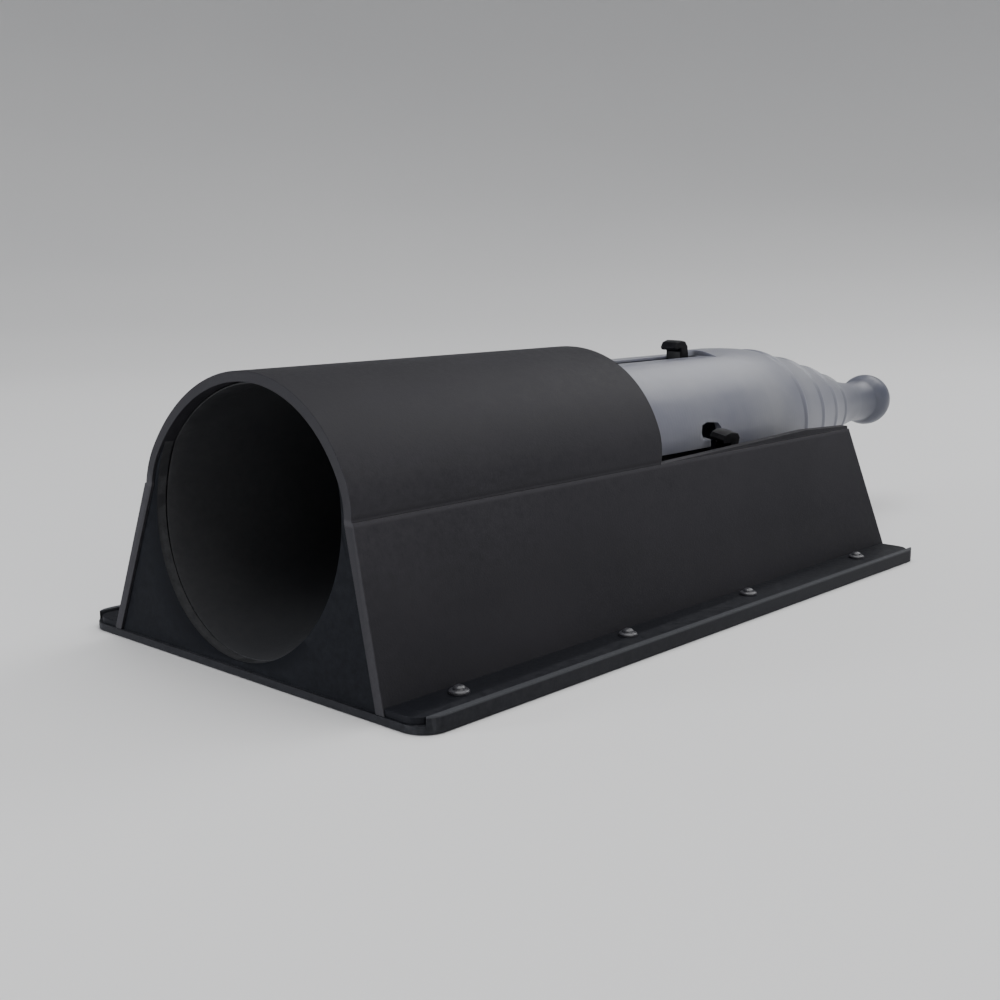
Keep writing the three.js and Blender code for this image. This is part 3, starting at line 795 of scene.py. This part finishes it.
def studio_bowl():
    """A pale floor that curves up into a backdrop all round."""
    flat = 0.5
    bend = 1.4
    bend_steps = 12
    turns = 96
    profile = [(flat / 2, 0), (flat, 0)]
    for i in range(bend_steps):
        a = math.pi / 2 * (i + 1) / bend_steps
        profile.append((flat + bend * math.sin(a), bend - bend * math.cos(a)))
    profile.append((flat + bend, 2))
    points = [(0, 0, 0)]
    faces = []
    for r, z in profile:
        for i in range(turns):
            a = 2 * math.pi * i / turns
            points.append((r * math.cos(a), r * math.sin(a), z))
    for i in range(turns):
        faces.append((0, 1 + i, 1 + (i + 1) % turns))
    for k in range(len(profile) - 1):
        for i in range(turns):
            j = (i + 1) % turns
            low = 1 + k * turns
            faces.append((low + i, low + turns + i, low + turns + j, low + j))
    mesh = bpy.data.meshes.new("floor")
    mesh.from_pydata(points, [], faces)
    for polygon in mesh.polygons:
        polygon.use_smooth = True
    floor = bpy.data.objects.new("floor", mesh)
    floor.location.z = -0.1 * MM
    bpy.context.scene.collection.objects.link(floor)
    mesh.materials.append(floor_material())


def stage():
    """The floor, a dim even world and four soft lights."""
    studio_bowl()
    world = bpy.data.worlds.new("studio")
    world.use_nodes = True
    background = world.node_tree.nodes["Background"]
    background.inputs["Color"].default_value = (0.9, 0.92, 0.95, 1)
    background.inputs["Strength"].default_value = 0.3
    bpy.context.scene.world = world
    area_light("overhead", (0.1, 0.05, 0.9), (1.0, 1.0), 9.0)
    area_light("rear", (0.03, 0.62, 0.52), (0.5, 0.3), 1.8)
    area_light("front", (-0.2, -0.46, 0.06), (0.12, 0.1), 1.4, (0.94, 0.96, 1.0))
    area_light("side", (0.75, -0.2, 0.3), (0.8, 0.4), 2.1, (1.0, 0.98, 0.95))


def camera():
    """The photograph's point of view, brought closer with a longer lens."""
    data = bpy.data.cameras.new("camera")
    data.sensor_width = 36
    data.lens = CAMERA_LENS
    data.clip_start = 0.005
    obj = bpy.data.objects.new("camera", data)
    aim(obj, CAMERA_EYE, CAMERA_TARGET)
    bpy.context.scene.camera = obj


def build():
    """Every piece with its material, on its body."""
    charcoal = plastic("charcoal", (0.0138, 0.0136, 0.0166), (0.0195, 0.0188, 0.0224), 0.6, 3200, 0.05, 0.12)
    # Painted highlight: a paler band along the ledge at the crease between the arch and the side wall.
    paint_highlight_band(charcoal, crease()[1] - 0.1, 0.5, (0.034, 0.033, 0.038))
    foot = plastic("foot_charcoal", SATIN, (0.009, 0.0095, 0.012), 0.5, 2600, 0.02, 0.06)
    base = plastic("base_charcoal", SATIN, (0.010, 0.0105, 0.013), 0.5, 2600, 0.03, 0.08, wear=1.0)
    # Painted highlight: a paler band along the top of the base's lip.
    paint_highlight_band(base, LIP_TOP_Z, 0.3, (0.05, 0.052, 0.058))
    front = plastic("blue_black", (0.0010, 0.0014, 0.0028), (0.0018, 0.0025, 0.0044), 0.6, 2400, 0.03, 0.04)
    throat = plastic("throat_black", (0.024, 0.0245, 0.027), (0.034, 0.0345, 0.037), 0.6, 2400, 0.03, 0.08)
    carrier = plastic("carrier_black", (0.008, 0.008, 0.011), (0.014, 0.0135, 0.017), 0.5, 2600, 0.03, 0.25)
    gloss_tones = (0.0025, 0.0025, 0.0035), (0.0045, 0.0045, 0.006)
    gloss = plastic("gloss_black", *gloss_tones, 0.35, 2000, 0.01, 0.06, coat=0.04)
    grey_tones = (0.022, 0.022, 0.027), (0.034, 0.034, 0.040)
    grey = plastic("pin_grey", *grey_tones, 0.35, 2000, 0.01, 0.45, coat=0.2)
    natural = plastic("natural_nylon", (0.50, 0.48, 0.43), (0.60, 0.58, 0.52), 0.38, 2200, 0.02)
    ivory = plastic("ivory", (0.58, 0.50, 0.36), (0.66, 0.58, 0.44), 0.45, 2200, 0.03)
    steel = wire_steel()

    shell = add(housing(), "housing", "housing_plastic", charcoal, "housing_cover")
    shell.data.materials.append(foot)
    plate = add(front_plate(), "housing", "front_plastic", front, "front_plate")
    # The throat's paler material also paints a highlight on the plate's hole faces, along the mouth's rim.
    plate.data.materials.append(throat)
    add(funnel(), "housing", "front_plastic", throat, "entrance_funnel")
    add(cone(), "loading_cone", "cone_plastic", milky_plastic(), "loading_cone")
    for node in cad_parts:
        if node.startswith("cover_pin"):
            add(foot_pin(node), "housing", "pin_plastic", grey, node)
    dress_node("base_plate", base, 0.2, 30)
    for node in ("barrel_bulkhead", "ring_barrel", "cam_retainer", "trigger_pedal"):
        dress_node(node, carrier, 0.12)
    dress_node("release_cam", natural, 0.12)
    dress_node("bait_cup", ivory, 0.2)
    dress_node("pedal_pin", steel, 0.08)
    for name, *_ in FINGERS:
        dress_node(f"ring_finger_{name}", gloss, 0.3)
        dress_node(f"finger_pin_{name}", steel, 0.05)
    # The coil gets a mesh of its own.
    spring = dress_node("pedal_spring", steel, 0.02, 60)
    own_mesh(spring)


camera()
stage()
build()
